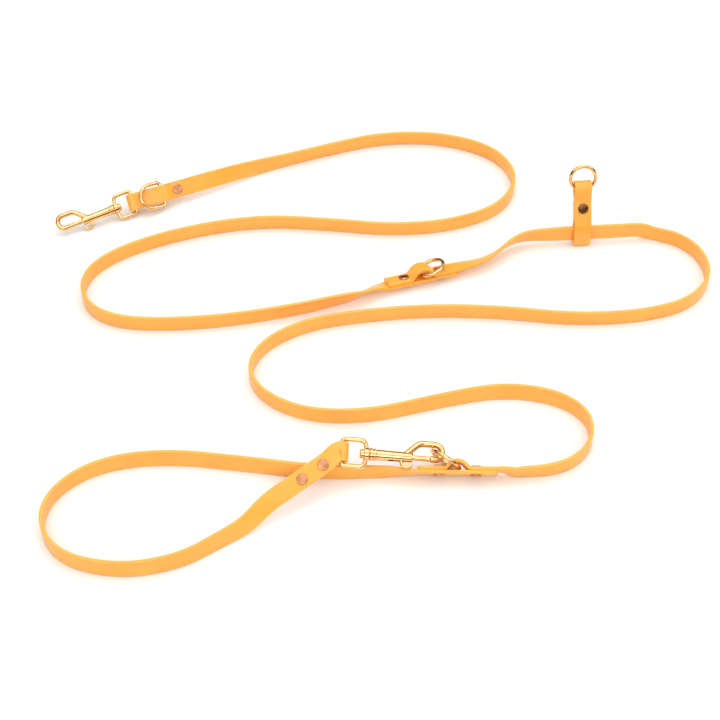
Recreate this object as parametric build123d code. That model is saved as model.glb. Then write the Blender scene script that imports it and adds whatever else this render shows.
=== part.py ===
from build123d import *
import math
import os

# A training leash of coated flat strap, lying on the floor mostly on its edge.
# Millimetres, +Z up, the floor at z = 0, the origin in the middle of its footprint.

# Strap
strap_width = 13.0
strap_thickness = 2.5
strap_middle = strap_width / 2
half_strap = strap_thickness / 2
layer = strap_thickness

# Fasteners and rings
rivet_cap_radius = 3.9
rivet_cap_height = 1.2
rivet_post_radius = 1.5
rivet_hole_radius = 1.6
ring_wire_radius = 1.4
ring_radius = 9.6
handle_ring_radius = 10.8
d_ring_half_width = 9.1
d_ring_leg = 9.9
gap = 0.3
held_reach = 1.5

# Snap hook, measured from the face of its swivel towards the hook's end
eye_wire_radius = 1.6
eye_reach = 18.5
eye_half_width = 9.0
barrel_radius = 3.6
barrel_end = 29.0
bolt_radius = 1.7
bolt_bore_radius = 1.76
bolt_tip = 40.9
bolt_travel = 7.5
lug_stem = 21.6
lug_wire_radius = 1.15
mouth_axis = 10.6
hook_end = 49
stud_radius = 1.9

# Routes of the straps that stand on edge, seen from above
lead_route = [
    (-66, 185.5), (-30, 199), (8, 211), (56, 211), (98, 193), (114, 160),
    (100, 127), (62, 108), (14, 102.5), (-36, 109), (-88, 112.5), (-140, 101.5),
    (-187, 81.5), (-212, 60), (-218, 36), (-206, 13.5), (-176, 2.5), (-118, 5),
    (-62, 16.5), (-22, 29.5),
]
middle_route = [
    (216, 98), (233, 92), (247, 75), (250, 48), (231, 23), (193, 11), (145, 8),
    (92, 15.5), (40, 17), (-8, 12), (-50, 3), (-80, -17), (-91, -42), (-80, -66),
    (-48, -83.5), (-4, -84), (44, -70), (88, -59.5), (126, -66), (147, -84),
    (147, -108), (134, -124), (117, -131), (98, -132.5),
]
handle_route = [
    (4, -132.5), (-38, -133), (-90, -125.5), (-142, -119), (-186, -126), (-214, -148),
    (-221, -176), (-204, -203), (-164, -213), (-126, -205), (-100, -187),
]

# Profiles of the strap where it is folded, as along it and off its face
lead_fold = [
    (42, -0.75), (17, -0.75), (7, -3.1), (-1.3, -3.1), (-3.1, -1.3), (-3.1, 1.3), (-1.3, 3.1),
    (7, 3.1), (20, 5.4), (26.5, 5.4), (31.5, 1.8), (44, 1.8),
]
middle_hump = [(-27, -2.5), (-8.8, -2.5), (-3, -8.9), (4.9, -8.9), (10.2, -2.5), (26, -2.5)]
handle_hump = [(-27, -2.5), (-8.5, -2.5), (-3.5, -7.6), (2.7, -7.6), (7.7, -2.5), (26, -2.5)]
slider_profile = [
    (3.3, 21.3), (11.6, 34.0), (17.6, 37.3), (19.8, 40.8), (19.1, 44.4), (16.0, 46.4),
    (12.4, 45.6), (10.2, 42.2), (9.4, 35.2), (-3.8, 15.1), (-5.2, 3.4), (-3.4, 1.25),
    (2.2, 1.25), (4.0, 3.4), (3.6, 14.5), (5.5, 19.9), (12.5, 30.6),
]


def laid(point, heading, lean, pitch=0):
    """A strap frame: x along it, y across its width, z off its face; lean 0 stands on edge."""
    return Pos(*point) * Rot(0, 0, heading) * Rot(0, pitch, 0) * Rot(90 + lean, 0, 0)


# Where the ends, joints, hooks and the slider lie
lead_bow = laid((-187.5, 131, 9.4), 24, -43)
middle_joint = laid((34.5, 52.5, 4.1), 18, 72)
handle_joint = laid((54.5, -133.8, 7), -1, 30)
handle_bow = laid((-23.2, -128, 22), -0.4, -62, 7)
handle_snap_turn = -12
lead_snap_size = 0.9
handle_snap_size = 1.0
handle_plate = laid((-35.9, -136.9, 19.5), 36, -56, -9)
slider_place = Pos(158, 96.2, 0) * Rot(0, 0, 4.3)
slider_lift = 3.0
plate_layer = 1.28
middle_ring_place = middle_joint * Pos(0.9, 0, -4.4)
handle_ring_place = handle_joint * Pos(-0.5, 0, -3.7)


def blend(start, end, steps=8):
    """Frames of a smooth strap run between two frames, which may twist on its way."""
    first = Plane(start)
    last = Plane(end)
    reach = (last.origin - first.origin).length
    frames = [start]
    for step in range(1, steps):
        u = step / steps
        point = (
            first.origin * (2 * u**3 - 3 * u**2 + 1)
            + first.x_dir * (reach * (u**3 - 2 * u**2 + u))
            + last.origin * (3 * u**2 - 2 * u**3)
            + last.x_dir * (reach * (u**3 - u**2))
        )
        along = (
            first.origin * (6 * u**2 - 6 * u)
            + first.x_dir * (reach * (3 * u**2 - 4 * u + 1))
            + last.origin * (6 * u - 6 * u**2)
            + last.x_dir * (reach * (3 * u**2 - 2 * u))
        )
        across = (first.y_dir * (1 - u) + last.y_dir * u).normalized()
        reach_down = strap_middle * abs(across.Z) + half_strap * math.sqrt(1 - across.Z**2)
        point.Z = max(point.Z, reach_down)
        frames.append(Plane(origin=point, x_dir=along, z_dir=along.cross(across)).location)
    return frames + [end]


def turned(frame):
    return frame * Rot(0, 180, 0)


def ribbon(frames):
    sections = [frame * Rot(0, 90, 0) * Rectangle(strap_thickness, strap_width) for frame in frames]
    return loft(sections, ruled=True)


def ribbon_length(frames):
    points = [Plane(frame).origin for frame in frames]
    return sum((b - a).length for a, b in zip(points, points[1:]))


def corner_turns(points):
    corners = [Vector(*point) for point in points]
    turns = []
    for before, corner, after in zip(corners, corners[1:], corners[2:]):
        incoming = corner - before
        outgoing = after - corner
        left = 1 if incoming.cross(outgoing).Z > 0 else -1
        half_turn = math.radians(incoming.get_angle(outgoing) / 2)
        radius = 0.45 * min(incoming.length, outgoing.length) / math.tan(half_turn)
        turns.append((left, radius))
    return turns


def side_line(points, offset):
    """The route moved sideways, with every arc about the same centre as before."""
    corners = [Vector(*point) for point in points]
    normals = [Vector(-(b - a).Y, (b - a).X).normalized() for a, b in zip(corners, corners[1:])]
    moved = [corners[0] + normals[0] * offset]
    for corner, before, after in zip(corners[1:], normals, normals[1:]):
        moved.append(corner + (before + after) * (offset / (1 + before.dot(after))))
    moved.append(corners[-1] + normals[-1] * offset)
    radii = [radius - left * offset for left, radius in corner_turns(points)]
    return FilletPolyline(*moved, radius=radii)


def strip(points):
    """A length of strap whose centre line is drawn on the ground plane, its width upwards."""
    left = side_line(points, half_strap)
    right = side_line(points, -half_strap)
    outline = left.edges() + right.edges() + [Line(left @ 0, right @ 0), Line(left @ 1, right @ 1)]
    return extrude(make_face(outline), strap_width, dir=(0, 0, 1))


def folded(frame, points):
    """A length of strap folded in the plane of its own face normal, in a strap frame."""
    return frame * Rot(90, 0, 0) * Pos(0, 0, -strap_middle) * strip(points)


def route_start(points):
    heading = math.degrees(math.atan2(points[1][1] - points[0][1], points[1][0] - points[0][0]))
    return laid((*points[0], strap_middle), heading, 0)


def route_end(points):
    heading = math.degrees(math.atan2(points[-1][1] - points[-2][1], points[-1][0] - points[-2][0]))
    return laid((*points[-1], strap_middle), heading, 0)


def centre_length(points):
    return FilletPolyline(*points, radius=[radius for _, radius in corner_turns(points)]).length


def report(name, solid, route, profiles, runs):
    length = centre_length(route)
    length += sum(centre_length(profile) for profile in profiles)
    length += sum(ribbon_length(run) for run in runs)
    volume_length = solid.volume / (strap_width * strap_thickness)
    print(name, "radii", [round(radius) for _, radius in corner_turns(route)])
    print(name, "length", round(length), "volume over section", round(volume_length))


def drilled(solid, rivets, layers=2):
    """The rivets' holes, and the beds that their caps press into the strap beside them."""
    bed = Cylinder(rivet_cap_radius + 0.1, 2 * rivet_cap_height)
    for rivet in rivets:
        solid -= rivet * Cylinder(rivet_hole_radius, 16)
        solid -= rivet * Pos(0, 0, rivet_cap_height) * bed
        solid -= rivet * Pos(0, 0, -layers * layer - rivet_cap_height) * bed
    return solid


def lead_strap():
    """From the snap hook's fold, with the D-ring and one rivet, to the middle joint."""
    tail = blend(lead_bow * Pos(44, 0, 1.8), route_start(lead_route))
    joint = blend(route_end(lead_route), middle_joint * Pos(-23, 0, 0))
    joint.append(middle_joint * Pos(28, 0, 0))
    solid = folded(lead_bow, lead_fold) + ribbon(tail) + strip(lead_route) + ribbon(joint)
    solid = drilled(solid, [lead_rivet] + middle_rivets)
    report("lead_strap", solid, lead_route, [lead_fold], [tail, joint])
    return solid


def middle_strap():
    """From the middle joint, past the slider and round both curves, to the handle joint."""
    lifted = slider_place * Pos(0, 0, strap_middle + slider_lift) * Rot(90, 0, 0)
    rise = blend(middle_joint * Pos(26, 0, -layer), lifted * Pos(-22, 0, 0), 16)
    rise += blend(lifted * Pos(38, 0, 0), route_start(middle_route))
    end = blend(route_end(middle_route), turned(handle_joint * Pos(26, 0, -layer)))
    solid = folded(middle_joint, middle_hump) + ribbon(rise)
    solid += strip(middle_route) + ribbon(end)
    solid += folded(handle_joint, handle_hump)
    solid = drilled(solid, middle_rivets + handle_rivets)
    report("middle_strap", solid, middle_route, [middle_hump, handle_hump], [rise, end])
    return solid


def handle_strap():
    """From the handle joint round the handle's loop to the second snap hook's fold."""
    joint = [turned(handle_joint * Pos(26, 0, 0))]
    joint += blend(turned(handle_joint * Pos(-27, 0, 0)), route_start(handle_route))
    fold_radius = eye_wire_radius + 2 * gap + half_strap
    climb = blend(route_end(handle_route), handle_plate * Pos(-27, 0, plate_layer), 12)
    climb += blend(handle_plate * Pos(4.2, 0, plate_layer), handle_bow * Pos(-3, 0, fold_radius))
    around = [handle_bow * Rot(0, 18 * step, 0) * Pos(0, 0, fold_radius) for step in range(11)]
    back = [turned(frame) for frame in reversed(blend(
        handle_plate * Pos(4.2, 0, -plate_layer), handle_bow * Pos(-3, 0, -fold_radius)
    ))]
    back.append(turned(handle_plate * Pos(-26, 0, -plate_layer)))
    end = climb + around + back
    solid = ribbon(joint) + strip(handle_route) + ribbon(end)
    solid = drilled(solid, handle_rivets + handle_snap_rivets)
    report("handle_strap", solid, handle_route, [], [joint, end])
    return solid


def slider_strap():
    """One strip, looped round the leash below its rivet and round the ring above it."""
    upright = slider_place * Plane((0, 0, 0), x_dir=(0, 1, 0), z_dir=(1, 0, 0)).location
    solid = drilled(upright * Pos(0, 0, -strap_middle) * strip(slider_profile), [slider_rivet], 3)
    print("slider_strap length", round(centre_length(slider_profile)))
    return solid


# The hooks' swivel faces, x towards the hook's end, and their sizes: the lead's is smaller
snap_eyes = {
    "lead": (
        lead_bow * Pos(0.5, 0, 0) * Rot(0, 0, 5) * Rot(0, 180, 0)
        * Pos(eye_reach * lead_snap_size, 0, 0),
        lead_snap_size,
    ),
    "handle": (handle_bow * Pos(eye_reach * handle_snap_size, 0, 0), handle_snap_size),
}


# Rivets: the centre of each stack's outer face, z pointing out of it
lead_rivet = lead_bow * Pos(36, 0, 1.8 + half_strap)
middle_rivets = [middle_joint * Pos(x, 0, -1.5 * layer) * Rot(180, 0, 0) for x in (-13.2, 14.2)]
handle_rivets = [handle_joint * Pos(x, 0, -1.5 * layer) * Rot(180, 0, 0) for x in (-13, 12)]
handle_snap_rivets = [handle_plate * Pos(x, 0, layer + 0.03) for x in (-17.2, 0)]
slider_rivet = slider_place * Pos(0, 5.6, 29.4) * Rot(57, 0, 0) * Pos(0, 0, half_strap)


def rivet_post(place, stack):
    """The lower cap and the post through a stack of layers."""
    shank = Pos(0, 0, 0.6 - (stack + 0.6) / 2) * Cylinder(rivet_post_radius, stack + 0.6)
    head = Cylinder(rivet_cap_radius, rivet_cap_height)
    head = fillet(head.edges().group_by(Axis.Z)[0], 0.7)
    return place * (shank + Pos(0, 0, -stack - rivet_cap_height / 2) * head)


def rivet_cap(place):
    cap = Pos(0, 0, rivet_cap_height / 2) * Cylinder(rivet_cap_radius, rivet_cap_height)
    cap = fillet(cap.edges().group_by(Axis.Z)[-1], 0.7)
    return place * (cap - Pos(0, 0, 0.3) * Cylinder(rivet_post_radius, 0.6))


def ring(place, radius):
    """A welded ring; place is the middle of its held wire, x towards the ring's far side."""
    return place * Pos(radius, 0, 0) * Torus(radius, ring_wire_radius)


def swept(path, section, heading):
    return sweep(Plane(origin=path @ 0, x_dir=(0, 0, 1), z_dir=heading) * section, path=path)


def d_ring(place):
    """A D-ring; place is the middle of its bar, x towards the round side."""
    side = d_ring_half_width
    bar = FilletPolyline((0, 0, 0), (0, side, 0), (d_ring_leg, side, 0), radius=[2.4])
    arc = RadiusArc((d_ring_leg, side, 0), (d_ring_leg + side, 0, 0), side)
    half = swept(Wire(bar.edges() + arc.edges()), Circle(ring_wire_radius), (0, 1, 0))
    return place * (half + mirror(half, Plane.XZ))


def snap_body():
    """Stud, collar, barrel and the hook that curls back to meet the bolt."""
    stud = Pos(-2.6, 0, 0) * Rot(0, 90, 0) * Cylinder(stud_radius, 5.4)
    head = Pos(-5.3, 0, 0) * Rot(0, 90, 0) * Cylinder(3.1, 2.4)
    head = fillet(head.edges().group_by(Axis.X)[0], 1.0)
    profile = Polyline(
        (0, 0), (0, 3.9), (0.5, 4.4), (1.7, 4.4), (2.1, 3.7), (2.6, 3.7), (3.0, 4.1),
        (4.1, 4.1), (4.6, barrel_radius), (barrel_end - 1, 3.3), (barrel_end, 2.9),
        (barrel_end, 0), (0, 0),
    )
    turning = revolve(make_face(profile.edges()), Axis.X)
    path = FilletPolyline(
        (23.5, 0.9, 0), (33.5, mouth_axis, 0), (hook_end, mouth_axis, 0), (hook_end, 0, 0),
        (41, 0, 0), radius=[8, 5.2, 4.6],
    )
    hook = swept(path, Ellipse(2.6, 2.1), path % 0)
    bore_length = barrel_end + 1 - 6
    bore = Pos(6 + bore_length / 2, 0, 0) * Rot(0, 90, 0) * Cylinder(bolt_bore_radius, bore_length)
    slot_start = lug_stem - bolt_travel - lug_wire_radius - 0.2
    slot_end = lug_stem + lug_wire_radius + 0.2
    slot = Box(slot_end - slot_start, 6, 2 * lug_wire_radius + 0.3)
    slot = Pos((slot_start + slot_end) / 2, -3, 0) * slot
    return stud + head + turning + hook - bore - slot


def swivel_eye(side):
    """The bow that the strap folds round, and its boss on the hook's stud."""
    boss = Pos(-2, 0, 0) * Rot(0, 90, 0) * Cylinder(4.3, 3.8)
    bow = FilletPolyline(
        (-2, 3, 0), (-3.4, side, 0), (-eye_reach, side, 0), (-eye_reach, 0, 0),
        radius=[3.6, 2.8],
    )
    half = swept(bow, Circle(eye_wire_radius), bow % 0)
    solid = fillet(boss.edges(), 0.8) + half + mirror(half, Plane.XZ)
    return solid - Pos(-2, 0, 0) * Rot(0, 90, 0) * Cylinder(stud_radius + 0.05, 8)


def snap_bolt():
    rear = lug_stem - 5
    rod = Pos((rear + bolt_tip) / 2, 0, 0) * Rot(0, 90, 0) * Cylinder(bolt_radius, bolt_tip - rear)
    rod = fillet(rod.edges().group_by(Axis.X)[-1], 0.5)
    return rod - Pos(lug_stem, -1, 0) * Rot(90, 0, 0) * Cylinder(lug_wire_radius, 2)


def thumb_lug():
    """The curled tab under the barrel, pressed into the bolt through the slot."""
    path = FilletPolyline(
        (lug_stem, 0, 0), (lug_stem, -7, 0), (lug_stem + 6.4, -7, 0), (lug_stem + 6.4, -4.6, 0),
        radius=[3, 2.2],
    )
    return swept(path, Circle(lug_wire_radius), (0, -1, 0))


def bolt_spring():
    rear = 6.3
    length = lug_stem - 5.3 - rear
    path = Helix(length / 6, length, 1.3, center=(rear, 0, 0), direction=(1, 0, 0))
    return sweep(Plane(origin=path @ 0, z_dir=path % 0) * Circle(0.25), path=path)


def write(name, solid):
    solids = solid.solids()
    print(name, "solids", len(solids), "volume", round(solid.volume))
    export_step(solids[0] if len(solids) == 1 else solid, f"parts/{name}.step")


def main():
    os.makedirs("parts", exist_ok=True)
    write("lead_strap", lead_strap())
    write("middle_strap", middle_strap())
    write("handle_strap", handle_strap())
    write("slider_strap", slider_strap())
    for side, (eye, size) in snap_eyes.items():
        hook = eye * Rot(handle_snap_turn if side == "handle" else 0, 0, 0)
        write(f"{side}_swivel_eye", eye * scale(swivel_eye(eye_half_width / size), size))
        write(f"{side}_snap_body", hook * scale(snap_body(), size))
        write(f"{side}_snap_bolt", hook * scale(snap_bolt(), size))
        write(f"{side}_thumb_lug", hook * scale(thumb_lug(), size))
        write(f"{side}_bolt_spring", hook * scale(bolt_spring(), size))
    write("lead_d_ring", d_ring(lead_bow * Pos(23.5, 0, 2.3) * Rot(0, 197, 0)))
    middle_held = middle_ring_place * Rot(0, 17, 0) * Pos(-held_reach, 0, 0)
    handle_held = handle_ring_place * Rot(0, 147.5, 0) * Pos(-held_reach, 0, 0)
    slider_held = slider_place * Pos(0, 15.1, 41.7) * Rot(0, 0, 90) * Rot(0, -75, 0)
    write("middle_ring", ring(middle_held, ring_radius))
    write("handle_ring", ring(handle_held, handle_ring_radius))
    write("slider_ring", ring(slider_held * Pos(-held_reach, 0, 0), ring_radius))
    rivets = {
        "lead": (lead_rivet, 2), "slider": (slider_rivet, 3),
        "middle_left": (middle_rivets[0], 2), "middle_right": (middle_rivets[1], 2),
        "handle_left": (handle_rivets[0], 2), "handle_right": (handle_rivets[1], 2),
        "snap_left": (handle_snap_rivets[0], 2), "snap_right": (handle_snap_rivets[1], 2),
    }
    for name, (place, layers) in rivets.items():
        write(f"{name}_rivet_post", rivet_post(place, layers * layer))
        write(f"{name}_rivet_cap", rivet_cap(place))


main()
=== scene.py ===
import math
import bpy
import bmesh
from mathutils import Matrix, Vector


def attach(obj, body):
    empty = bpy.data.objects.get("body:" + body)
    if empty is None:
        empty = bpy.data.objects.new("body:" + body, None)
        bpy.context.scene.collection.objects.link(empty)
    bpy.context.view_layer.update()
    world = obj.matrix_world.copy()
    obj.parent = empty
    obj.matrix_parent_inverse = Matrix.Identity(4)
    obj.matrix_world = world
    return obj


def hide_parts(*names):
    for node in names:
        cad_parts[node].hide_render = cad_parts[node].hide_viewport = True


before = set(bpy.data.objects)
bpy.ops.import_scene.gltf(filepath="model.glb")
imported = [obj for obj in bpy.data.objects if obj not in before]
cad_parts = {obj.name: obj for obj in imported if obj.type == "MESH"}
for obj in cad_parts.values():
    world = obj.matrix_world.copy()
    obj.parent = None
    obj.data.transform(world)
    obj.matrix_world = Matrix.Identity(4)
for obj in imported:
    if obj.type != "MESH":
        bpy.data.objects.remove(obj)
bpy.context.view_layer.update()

mm = 0.001
strap = {"width": 13 * mm, "thickness": 2.5 * mm, "edge": 0.7 * mm, "edgeSteps": 4, "steps": 10}

# Where each riveted end lies: point in mm, heading, lean and pitch in degrees
layout = {
    "leadBow": ((-187.5, 131, 9.4), 24, -43, 0),
    "middleJoint": ((34.5, 52.5, 4.1), 18, 72, 0),
    "handleJoint": ((54.5, -133.8, 7), -1, 30, 0),
    "handleBow": ((-23.2, -128, 22), -0.4, -62, 7),
    "handlePlate": ((-35.9, -136.9, 19.5), 36, -56, -9),
    "sliderRun": ((158, 96.2, 9.5), 4.3, 0, 0),
}

# Routes of the straps that stand on edge, in mm: x, y and how far the top leans away in degrees
leadRoute = [
    (-66, 185.5, -10), (-30, 199, -8), (8, 211, -8), (56, 211, -8), (98, 193, -6),
    (114, 160, 0), (100, 127, -4), (62, 108, -6), (14, 102.5, -6), (-36, 109, -6), (-88, 112.5, -6),
    (-140, 101.5, -5), (-187, 81.5, -3), (-212, 60, 0), (-218, 36, 0), (-206, 13.5, 0),
    (-176, 2.5, -2), (-118, 5, -3), (-62, 16.5, -6), (-22, 29.5, -16),
]
middleRoute = [
    (216, 98, -5), (233, 92, -4), (247, 75, 0), (250, 48, 0), (231, 23, 0), (193, 11, -3),
    (145, 8, -4), (92, 15.5, -4), (40, 17, -4), (-8, 12, -3), (-50, 3, -2), (-80, -17, 0),
    (-91, -42, 0), (-80, -66, 0), (-48, -83.5, 2), (-4, -84, 3), (44, -70, 5), (88, -59.5, 8),
    (126, -66, 8), (147, -84, 4), (147, -108, 0), (134, -124, -3), (117, -131, -6),
    (98, -132.5, -12),
]
handleRoute = [
    (4, -132.5, -6), (-38, -133, 4), (-90, -125.5, 8), (-142, -119, 8), (-186, -126, 5),
    (-214, -148, 0), (-221, -176, 0), (-204, -203, 4), (-164, -213, 8), (-126, -205, 10),
    (-100, -187, 14),
]

# Folds and humps, in mm along the strap and off its face
leadFold = [
    (42, -0.75), (30, -0.75), (17, -0.75), (7, -3.1), (-1.3, -3.1), (-3.1, -1.3), (-3.1, 1.3),
    (-1.3, 3.1), (7, 3.1), (19, 5.4), (22.5, 5.4), (26, 5.3), (31, 1.8), (33, 1.8), (44, 1.8),
]
middleHump = [
    (-27, -2.5), (-13, -2.5), (-8.9, -2.5), (-8.3, -2.9), (-3, -8.9), (4.9, -8.9), (9.9, -2.9),
    (10.4, -2.5), (15, -2.5), (26, -2.5),
]
handleHump = [
    (-27, -2.5), (-13, -2.5), (-8.8, -2.5), (-8.2, -2.8), (-3.5, -7.6), (2.7, -7.6), (7.3, -2.8),
    (7.9, -2.5), (13, -2.5), (26, -2.5),
]
sliderProfile = [
    (3.3, 21.3), (10.4, 32.2), (11.6, 34.0), (17.6, 37.3), (19.8, 40.8), (19.1, 44.4), (16.0, 46.4),
    (12.4, 45.6), (10.2, 42.2), (9.4, 35.2), (8.6, 34.0), (1.6, 23.3), (-3.8, 15.1), (-5.2, 3.4),
    (-3.4, 1.25), (2.2, 1.25), (4.0, 3.4), (3.6, 14.5), (5.5, 19.9), (12.5, 30.6),
]


def placed(name):
    point, heading, lean, pitch = layout[name]
    turn = Matrix.Rotation(math.radians(heading), 4, "Z") @ Matrix.Rotation(math.radians(pitch), 4, "Y")
    return Matrix.Translation(Vector(point) * mm) @ turn @ Matrix.Rotation(math.radians(90 + lean), 4, "X")


def along(base, profile):
    return [base @ Matrix.Translation((x * mm, 0, z * mm)) for x, z in profile]


def onEdge(route):
    stations = []
    for index, (x, y, lean) in enumerate(route):
        before = route[max(index - 1, 0)]
        after = route[min(index + 1, len(route) - 1)]
        heading = Vector((after[0] - before[0], after[1] - before[1], 0)).normalized()
        tilt = math.radians(lean)
        across = Vector((0, math.sin(tilt), math.cos(tilt)))
        across = (across - heading * across.dot(heading)).normalized()
        height = strap["width"] / 2 * across.z + strap["thickness"] / 2 * math.sqrt(1 - across.z ** 2)
        stations.append(stationAt(Vector((x * mm, y * mm, height)), heading, across))
    return stations


def stationAt(point, heading, across):
    normal = heading.cross(across)
    return Matrix((
        (heading.x, across.x, normal.x, point.x), (heading.y, across.y, normal.y, point.y),
        (heading.z, across.z, normal.z, point.z), (0, 0, 0, 1),
    ))


def turned(station):
    return station @ Matrix.Rotation(math.pi, 4, "Y")


def backwards(stations):
    return [turned(station) for station in reversed(stations)]


def between(first, last):
    reach = (last.translation - first.translation).length / 3
    stations = []
    for start, ahead, share in ((first, reach, 1 / 3), (last, -reach, 2 / 3)):
        heading = start.col[0].xyz
        point = start.translation + heading * ahead
        across = first.col[1].xyz * (1 - share) + last.col[1].xyz * share
        across = (across - heading * across.dot(heading)).normalized()
        side = math.sqrt(max(0, 1 - across.z ** 2))
        point.z = max(point.z, strap["width"] / 2 * abs(across.z) + strap["thickness"] / 2 * side)
        stations.append(stationAt(point, heading, across))
    return stations


def joined(*runs):
    stations = list(runs[0])
    for run in runs[1:]:
        stations += between(stations[-1], run[0]) + list(run)
    return stations


def splineLine(points):
    curve = bpy.data.curves.new("line", "CURVE")
    curve.dimensions = "3D"
    curve.resolution_u = strap["steps"]
    spline = curve.splines.new("NURBS")
    spline.points.add(len(points) - 1)
    for target, point in zip(spline.points, points):
        target.co = (*point, 1)
    spline.order_u = 3
    spline.use_endpoint_u = True
    holder = bpy.data.objects.new("line", curve)
    bpy.context.collection.objects.link(holder)
    mesh = bpy.data.meshes.new_from_object(holder)
    line = [vertex.co.copy() for vertex in mesh.vertices]
    bpy.data.objects.remove(holder)
    bpy.data.meshes.remove(mesh)
    bpy.data.curves.remove(curve)
    return line


def sectionPoints():
    halfWidth = strap["width"] / 2
    halfThick = strap["thickness"] / 2
    edge = strap["edge"]
    points = []
    corners = ((1, 1, 0), (-1, 1, 90), (-1, -1, 180), (1, -1, 270))
    for sideX, sideZ, start in corners:
        for step in range(strap["edgeSteps"] + 1):
            angle = math.radians(start + step * 90 / strap["edgeSteps"])
            points.append((
                sideX * (halfWidth - edge) + edge * math.cos(angle),
                sideZ * (halfThick - edge) + edge * math.sin(angle),
            ))
    return points


def makePiece(name, mesh, body, material):
    piece = bpy.data.objects.new(name, mesh)
    bpy.context.collection.objects.link(piece)
    mesh.materials.append(material)
    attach(piece, body)
    return piece


def strapMesh(name, stations):
    centre = splineLine([station.translation for station in stations])
    edge = splineLine([station.translation + station.col[1].xyz * 0.01 for station in stations])
    section = sectionPoints()
    mesh = bpy.data.meshes.new(name)
    shape = bmesh.new()
    uvLayer = shape.loops.layers.uv.new("strapUv")
    rows = []
    travelled = 0
    distances = []
    last = len(centre) - 1
    for index, point in enumerate(centre):
        heading = (centre[min(index + 1, last)] - centre[max(index - 1, 0)]).normalized()
        across = edge[index] - point
        across = (across - heading * across.dot(heading)).normalized()
        normal = heading.cross(across)
        if index:
            travelled += (point - centre[index - 1]).length
        distances.append(travelled)
        rows.append([shape.verts.new(point + across * a + normal * b) for a, b in section])
    count = len(section)
    for index in range(last):
        for side in range(count):
            following = (side + 1) % count
            face = shape.faces.new((
                rows[index][side], rows[index][following],
                rows[index + 1][following], rows[index + 1][side],
            ))
            face.smooth = True
            places = ((index, side), (index, side + 1), (index + 1, side + 1), (index + 1, side))
            for loop, (row, column) in zip(face.loops, places):
                loop[uvLayer].uv = (distances[row], column / count)
    for row in (rows[0], rows[-1]):
        shape.faces.new(row)
    bmesh.ops.recalc_face_normals(shape, faces=shape.faces)
    shape.to_mesh(mesh)
    shape.free()
    return mesh, centre


def addStrap(name, stations, node, body, material):
    mesh, centre = strapMesh(name, stations)
    piece = makePiece(name, mesh, body, material)
    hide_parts(node)
    return piece


def fromHex(text):
    channels = [int(text[index:index + 2], 16) / 255 for index in (0, 2, 4)]
    return tuple(c / 12.92 if c <= 0.04045 else ((c + 0.055) / 1.055) ** 2.4 for c in channels) + (1,)


def addNode(tree, kind, settings=None, values=None, links=None):
    node = tree.nodes.new(kind)
    for key, value in (settings or {}).items():
        setattr(node, key, value)
    for key, value in (values or {}).items():
        node.inputs[key].default_value = value
    for key, source in (links or {}).items():
        tree.links.new(source, node.inputs[key])
    return node


def newMaterial(name):
    material = bpy.data.materials.new(name)
    material.use_nodes = True
    tree = material.node_tree
    shader = next(node for node in tree.nodes if node.type == "BSDF_PRINCIPLED")
    return material, tree, shader


def mixedColour(tree, factor, stops):
    ramp = addNode(tree, "ShaderNodeValToRGB", links={"Fac": factor})
    for element, (position, colour) in zip(ramp.color_ramp.elements, stops):
        element.position = position
        element.color = fromHex(colour)
    return ramp.outputs["Color"]


def finished(tree, shader, colour, roughness, wear, relief, depth):
    gloss = addNode(
        tree, "ShaderNodeMapRange", values={"To Min": roughness[0], "To Max": roughness[1]},
        links={"Value": wear},
    )
    bump = addNode(
        tree, "ShaderNodeBump", values={"Strength": depth[0], "Distance": depth[1]},
        links={"Height": relief},
    )
    tree.links.new(colour, shader.inputs["Base Color"])
    tree.links.new(gloss.outputs["Result"], shader.inputs["Roughness"])
    tree.links.new(bump.outputs["Normal"], shader.inputs["Normal"])


# Noise scales in cycles per metre
webbingLook = {
    "shades": ("FFAE3C", "FFB646"), "roughness": (0.3, 0.44), "blotch": 45, "grain": 1400,
    "relief": (0.12, 0.06 * mm), "scatter": 0.3, "scatterReach": 2.5 * mm,
    "coat": 0.2, "coatRoughness": 0.22,
}
metalLook = {"cloud": 160, "scratch": 900, "relief": (0.06, 0.04 * mm)}


def coatedStrapMaterial():
    # thermoplastic-coated polyester webbing, orange, smooth with a satin gloss
    material, tree, shader = newMaterial("coatedWebbing")
    place = addNode(tree, "ShaderNodeTexCoord").outputs["Object"]
    blotch = addNode(
        tree, "ShaderNodeTexNoise", values={"Scale": webbingLook["blotch"], "Detail": 3},
        links={"Vector": place},
    )
    grain = addNode(
        tree, "ShaderNodeTexNoise", values={"Scale": webbingLook["grain"], "Detail": 2},
        links={"Vector": place},
    )
    low, high = webbingLook["shades"]
    colour = mixedColour(tree, blotch.outputs["Fac"], ((0.3, low), (0.7, high)))
    finished(
        tree, shader, colour, webbingLook["roughness"], blotch.outputs["Fac"],
        grain.outputs["Fac"], webbingLook["relief"],
    )
    shader.inputs["IOR"].default_value = 1.5
    shader.inputs["Subsurface Weight"].default_value = webbingLook["scatter"]
    shader.inputs["Subsurface Radius"].default_value = (1.0, 0.4, 0.1)
    shader.inputs["Subsurface Scale"].default_value = webbingLook["scatterReach"]
    shader.inputs["Coat Weight"].default_value = webbingLook["coat"]
    shader.inputs["Coat Roughness"].default_value = webbingLook["coatRoughness"]
    return material


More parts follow.
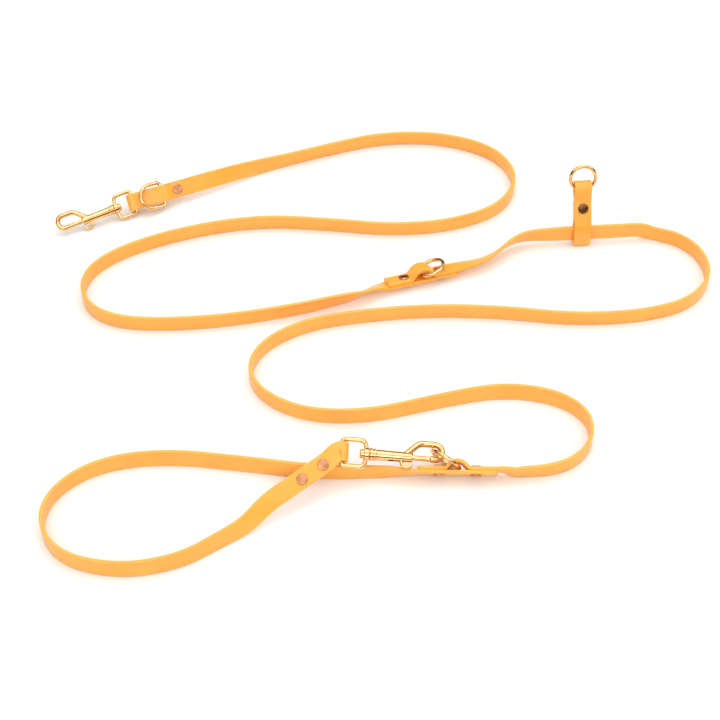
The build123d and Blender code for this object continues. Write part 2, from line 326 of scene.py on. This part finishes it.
def platedMetal(name, bright, dark, rough):
    material, tree, shader = newMaterial(name)
    place = addNode(tree, "ShaderNodeTexCoord").outputs["Object"]
    cloud = addNode(
        tree, "ShaderNodeTexNoise", values={"Scale": metalLook["cloud"], "Detail": 4},
        links={"Vector": place},
    )
    scratch = addNode(
        tree, "ShaderNodeTexNoise",
        values={"Scale": metalLook["scratch"], "Detail": 2, "Distortion": 1.5},
        links={"Vector": place},
    )
    colour = mixedColour(tree, cloud.outputs["Fac"], ((0.35, dark), (0.65, bright)))
    finished(
        tree, shader, colour, (rough * 0.7, rough * 1.4), cloud.outputs["Fac"],
        scratch.outputs["Fac"], metalLook["relief"],
    )
    shader.inputs["Metallic"].default_value = 1
    return material


webbing = coatedStrapMaterial()
# gold-plated zinc casting, polished
gold = platedMetal("goldPlating", "F5CE93", "E6B677", 0.12)
# rose-gold plated rivet caps
roseGold = platedMetal("roseGoldPlating", "E8A97E", "CE8A60", 0.18)
# antique bronze plated cap on the slider
darkBronze = platedMetal("darkBronze", "9A6A45", "6F4830", 0.22)
# drawn spring steel
springSteel = platedMetal("springSteel", "C9CBCE", "B4B6BA", 0.3)
print("materials done")

leadStations = joined(
    along(placed("leadBow"), leadFold), onEdge(leadRoute),
    along(placed("middleJoint"), [(-23, 0), (-10, 0), (12, 0), (28, 0)]),
)
sliderRun = along(placed("sliderRun"), [(-22, 0), (0, 0), (20, 0), (38, 0)])
middleStations = joined(
    along(placed("middleJoint"), middleHump), sliderRun, onEdge(middleRoute),
    backwards(along(placed("handleJoint"), handleHump)),
)
# The second hook's fold: its radius, and half the spacing of the two riveted layers, in mm
fold = 3.45
layerHalf = 1.28
handleEnd = (
    along(placed("handlePlate"), [(x, layerHalf) for x in (-27, -18, -6, 3.6)])
    + along(placed("handleBow"), [(-3, fold), (1.4, fold), (fold, 1.4)])
    + backwards(along(placed("handlePlate"), [(x, -layerHalf) for x in (-26, -18, -6, 3.6)])
                + along(placed("handleBow"), [(-3, -fold), (1.4, -fold), (fold, -1.4)]))
)
handleStations = joined(
    backwards(along(placed("handleJoint"), [(-27, 0), (-10, 0), (12, 0), (26, 0)])),
    onEdge(handleRoute), handleEnd,
)
sliderFoot = Matrix.Translation((158 * mm, 96.2 * mm, 0))
upright = (
    sliderFoot @ Matrix.Rotation(math.radians(94.3), 4, "Z")
    @ Matrix.Rotation(math.radians(90), 4, "X")
)
sliderStations = along(upright @ Matrix.Rotation(math.radians(-90), 4, "X"), sliderProfile)


# Rivet caps: two curves give the radius and height along the cap's outline, from its underside
capSettings = {"radius": 3.9 * mm, "height": 1.2 * mm, "steps": 40, "around": 65}
capRadiusCurve = (
    (0, 0), (0.25, 1), (0.34, 1), (0.42, 0.96), (0.48, 0.9), (0.56, 0.74), (0.6, 0.7), (0.64, 0.66),
    (0.68, 0.62), (0.8, 0.4), (1, 0),
)
capHeightCurve = (
    (0, 0), (0.25, 0), (0.34, 0.45), (0.42, 0.78), (0.48, 0.9), (0.56, 0.94), (0.6, 0.76),
    (0.64, 0.76), (0.68, 0.95), (0.8, 0.98), (1, 1),
)


def addCurve(tree, value, points):
    node = addNode(tree, "ShaderNodeFloatCurve", links={"Value": value})
    curve = node.mapping.curves[0]
    curve.points[0].location, curve.points[1].location = points[0], points[-1]
    for x, y in points[1:-1]:
        curve.points.new(x, y)
    for point in curve.points:
        point.handle_type = "VECTOR"
    node.mapping.update()
    return node.outputs["Value"]


def addMath(tree, operation, first, second=None):
    node = addNode(tree, "ShaderNodeMath", {"operation": operation})
    for slot, value in zip(node.inputs, (first, second)):
        if hasattr(value, "links"):
            tree.links.new(value, slot)
        elif value is not None:
            slot.default_value = value
    return node.outputs["Value"]


def rivetCapTree():
    tree = bpy.data.node_groups.new("rivetCaps", "GeometryNodeTree")
    face = tree.interface
    face.new_socket("Geometry", in_out="INPUT", socket_type="NodeSocketGeometry")
    for name in ("capRadius", "capHeight"):
        face.new_socket(name, in_out="INPUT", socket_type="NodeSocketFloat")
    face.new_socket("capMaterial", in_out="INPUT", socket_type="NodeSocketMaterial")
    face.new_socket("Geometry", in_out="OUTPUT", socket_type="NodeSocketGeometry")
    given = addNode(tree, "NodeGroupInput")
    grid = addNode(tree, "GeometryNodeMeshGrid", values={
        "Size X": 1, "Size Y": 1,
        "Vertices X": capSettings["steps"], "Vertices Y": capSettings["around"],
    })
    spot = addNode(tree, "GeometryNodeInputPosition")
    apart = addNode(tree, "ShaderNodeSeparateXYZ", links={"Vector": spot.outputs["Position"]})
    outward = addMath(tree, "ADD", apart.outputs["X"], 0.5)
    angle = addMath(tree, "MULTIPLY", apart.outputs["Y"], 2 * math.pi)
    radius = addMath(tree, "MULTIPLY", addCurve(tree, outward, capRadiusCurve), given.outputs["capRadius"])
    height = addMath(tree, "MULTIPLY", addCurve(tree, outward, capHeightCurve), given.outputs["capHeight"])
    across = addMath(tree, "MULTIPLY", addMath(tree, "COSINE", angle), radius)
    beside = addMath(tree, "MULTIPLY", addMath(tree, "SINE", angle), radius)
    rounded = addNode(tree, "ShaderNodeCombineXYZ", links={"X": across, "Y": beside, "Z": height})
    shaped = addNode(tree, "GeometryNodeSetPosition", links={
        "Geometry": grid.outputs["Mesh"], "Position": rounded.outputs["Vector"],
    })
    closed = addNode(
        tree, "GeometryNodeMergeByDistance", values={"Distance": 0.01 * mm},
        links={"Geometry": shaped.outputs["Geometry"]},
    )
    facing = addNode(
        tree, "GeometryNodeInputNamedAttribute", {"data_type": "FLOAT_VECTOR"}, {"Name": "facing"},
    )
    turn = addNode(
        tree, "FunctionNodeEulerToRotation", links={"Euler": facing.outputs["Attribute"]},
    )
    caps = addNode(tree, "GeometryNodeInstanceOnPoints", links={
        "Points": given.outputs["Geometry"], "Instance": closed.outputs["Geometry"],
        "Rotation": turn.outputs["Rotation"],
    })
    real = addNode(tree, "GeometryNodeRealizeInstances", links={"Geometry": caps.outputs["Instances"]})
    coated = addNode(tree, "GeometryNodeSetMaterial", links={
        "Geometry": real.outputs["Geometry"], "Material": given.outputs["capMaterial"],
    })
    addNode(tree, "NodeGroupOutput", links={"Geometry": coated.outputs["Geometry"]})
    return tree


capTree = rivetCapTree()


def addCaps(name, frames, nodes, body, material):
    points = bpy.data.meshes.new(name + "Points")
    points.from_pydata([matrix.translation for matrix in frames], [], [])
    facing = points.attributes.new("facing", "FLOAT_VECTOR", "POINT")
    for element, matrix in zip(facing.data, frames):
        element.vector = matrix.to_euler()
    holder = bpy.data.objects.new(name + "Points", points)
    bpy.context.collection.objects.link(holder)
    modifier = holder.modifiers.new("caps", "NODES")
    modifier.node_group = capTree
    sizes = {
        "capRadius": capSettings["radius"], "capHeight": capSettings["height"],
        "capMaterial": material,
    }
    for item in capTree.interface.items_tree:
        if item.in_out == "INPUT" and item.name in sizes:
            modifier[item.identifier] = sizes[item.name]
    graph = bpy.context.evaluated_depsgraph_get()
    mesh = bpy.data.meshes.new_from_object(holder.evaluated_get(graph))
    holder.modifiers.remove(modifier)
    bpy.data.objects.remove(holder)
    shape = bmesh.new()
    shape.from_mesh(mesh)
    bmesh.ops.recalc_face_normals(shape, faces=shape.faces)
    for part in shape.faces:
        part.smooth = True
    shape.to_mesh(mesh)
    shape.free()
    mesh.materials.clear()
    piece = makePiece(name, mesh, body, material)
    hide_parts(*nodes)
    print(name, "faces", len(mesh.polygons))
    return piece


def shifted(name, x, z, turn=0):
    moved = placed(name) @ Matrix.Translation((x * mm, 0, z * mm))
    return moved @ Matrix.Rotation(math.radians(turn), 4, "X")


leadCaps = addCaps("leadCaps", [shifted("leadBow", 36, 3.05)], ["lead_rivet_cap"], "straps", roseGold)
middleCaps = addCaps(
    "middleCaps", [shifted("middleJoint", x, -3.75, 180) for x in (-13.2, 14.2)],
    ["middle_left_rivet_cap", "middle_right_rivet_cap"], "straps", roseGold,
)
handleCaps = addCaps(
    "handleCaps",
    [shifted("handleJoint", x, -3.75, 180) for x in (-13, 12)]
    + [shifted("handlePlate", x, 2.53) for x in (-17.2, 0)],
    ["handle_left_rivet_cap", "handle_right_rivet_cap", "snap_left_rivet_cap", "snap_right_rivet_cap"],
    "straps", roseGold,
)
sliderFace = (
    sliderFoot @ Matrix.Rotation(math.radians(4.3), 4, "Z")
    @ Matrix.Translation((0, 5.6 * mm, 29.4 * mm)) @ Matrix.Rotation(math.radians(57), 4, "X")
    @ Matrix.Translation((0, 0, 1.25 * mm))
)
addCaps("sliderCap", [sliderFace], ["slider_rivet_cap"], "slider", darkBronze)


addStrap(
    "leadRibbon", leadStations, "lead_strap", "straps", webbing,
)
addStrap(
    "middleRibbon", middleStations, "middle_strap", "straps", webbing,
)
addStrap(
    "handleRibbon", handleStations, "handle_strap", "straps", webbing,
)
addStrap("sliderRibbon", sliderStations, "slider_strap", "slider", webbing)
print("straps done")

finishes = {"slider_rivet": darkBronze, "rivet": roseGold, "spring": springSteel, "": gold}
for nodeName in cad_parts:
    if nodeName.endswith("strap"):
        continue
    finish = next(material for key, material in finishes.items() if key in nodeName)
    for holder in bpy.data.objects[nodeName].material_slots:
        holder.material = finish
print("hardware done")

floorMesh = bpy.data.meshes.new("floor")
floorShape = bmesh.new()
bmesh.ops.create_grid(floorShape, x_segments=2, y_segments=2, size=6)
floorShape.to_mesh(floorMesh)
floorShape.free()
floorPiece = bpy.data.objects.new("floor", floorMesh)
floorPiece.location.z = -0.0002
bpy.context.collection.objects.link(floorPiece)
paper, paperTree, paperShader = newMaterial("seamlessPaper")
paperShader.inputs["Base Color"].default_value = (0.93, 0.93, 0.93, 1)
paperShader.inputs["Roughness"].default_value = 0.9
floorMesh.materials.append(paper)

# A white tent with a dark opening low down all round, which the polished metal mirrors
tentBands = ((0, 0.5), (0.08, 0.1), (0.3, 0.03), (0.42, 0.1), (0.5, 1.05), (1, 1.2))
world = bpy.data.worlds.new("studio")
world.use_nodes = True
bpy.context.scene.world = world
worldTree = world.node_tree
background = next(node for node in worldTree.nodes if node.type == "BACKGROUND")
direction = addNode(worldTree, "ShaderNodeTexCoord").outputs["Generated"]
upward = addNode(worldTree, "ShaderNodeSeparateXYZ", links={"Vector": direction})
bands = addNode(worldTree, "ShaderNodeValToRGB", links={"Fac": upward.outputs["Z"]})
for _ in tentBands[2:]:
    bands.color_ramp.elements.new(0.5)
for element, (position, level) in zip(bands.color_ramp.elements, tentBands):
    element.position = position
    element.color = (level, level, level * 0.98, 1)
worldTree.links.new(bands.outputs["Color"], background.inputs["Color"])
background.inputs["Strength"].default_value = 1


def addLight(name, place, target, size, power):
    light = bpy.data.lights.new(name, "AREA")
    light.shape = "RECTANGLE"
    light.size, light.size_y = size
    light.energy = power
    holder = bpy.data.objects.new(name, light)
    holder.location = place
    holder.rotation_euler = (Vector(target) - Vector(place)).to_track_quat("-Z", "Y").to_euler()
    bpy.context.collection.objects.link(holder)


# Each lamp's place, size and power in watts
lamps = {
    "overhead": ((0.1, 0.5, 1.6), (1.6, 1.0), 8),
    "side": ((1.4, -0.3, 1.0), (0.8, 0.8), 3),
    "front": ((-0.2, -1.5, 1.1), (1.6, 0.5), 8),
}
for lampName, (place, size, power) in lamps.items():
    addLight(lampName, place, (0, 0, 0), size, power)
bpy.context.scene.view_settings.view_transform = "Standard"

cameraSettings = {"lens": 80, "sensor": 36, "place": (-0.011, -0.7931, 0.8519), "tilt": 42}
camera = bpy.data.cameras.new("camera")
camera.lens = cameraSettings["lens"]
camera.sensor_width = cameraSettings["sensor"]
cameraHolder = bpy.data.objects.new("camera", camera)
cameraHolder.location = cameraSettings["place"]
cameraHolder.rotation_euler = (math.radians(cameraSettings["tilt"]), 0, 0)
bpy.context.collection.objects.link(cameraHolder)
bpy.context.scene.camera = cameraHolder
print("stage done")
